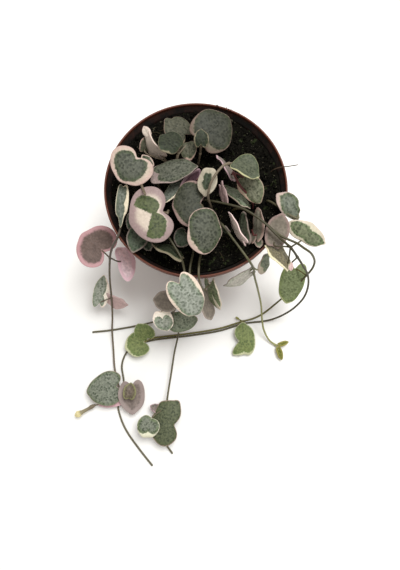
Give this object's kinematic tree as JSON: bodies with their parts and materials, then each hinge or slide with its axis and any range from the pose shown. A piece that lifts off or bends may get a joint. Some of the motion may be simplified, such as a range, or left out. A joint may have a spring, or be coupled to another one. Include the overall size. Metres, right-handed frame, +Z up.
{
  "type": "potted string of hearts",
  "caption": "Variegated string of hearts in a small terracotta-coloured plastic nursery pot, heart-shaped leaves standing in the soil and on thin stems that trail over the rim.",
  "frame": {"origin": "centre of the pot's underside, on the surface that it stands on", "axes": "+Z up along the pot's axis, -Y towards the side where the long stems lie on the surface, +X to the right seen from there"},
  "size_m": [0.126, 0.1797, 0.0943],
  "materials": {
    "pot_plastic": "satin terracotta-coloured plastic",
    "soil": "dark crumbly potting soil",
    "foliage": "satin succulent leaf, grey-green with cream and pink margins",
    "dry_stem": "matt dry stem"
  },
  "bodies": {
    "root": {"pot": "pot_plastic", "soil": "soil", "stem_left_heart": "foliage", "stem_left_broad": "foliage", "stem_left_back": "foliage", "stem_back_left": "foliage", "stem_back_right": "foliage", "stem_middle_back": "foliage", "stem_middle_front": "foliage", "stem_right_arch": "foliage", "stem_right_red": "foliage", "stem_right_narrow": "foliage", "stem_front_right": "foliage", "stem_right_edge": "foliage", "stem_right_back": "foliage", "stem_left_soil": "foliage", "trail_left": "foliage", "trail_front_left": "foliage", "trail_front": "foliage", "trail_front_short": "foliage", "trail_right_front": "foliage", "trail_right_long": "foliage", "trail_right_twin": "foliage", "wiry_stem_end": "dry_stem"}
  },
  "joints": []
}
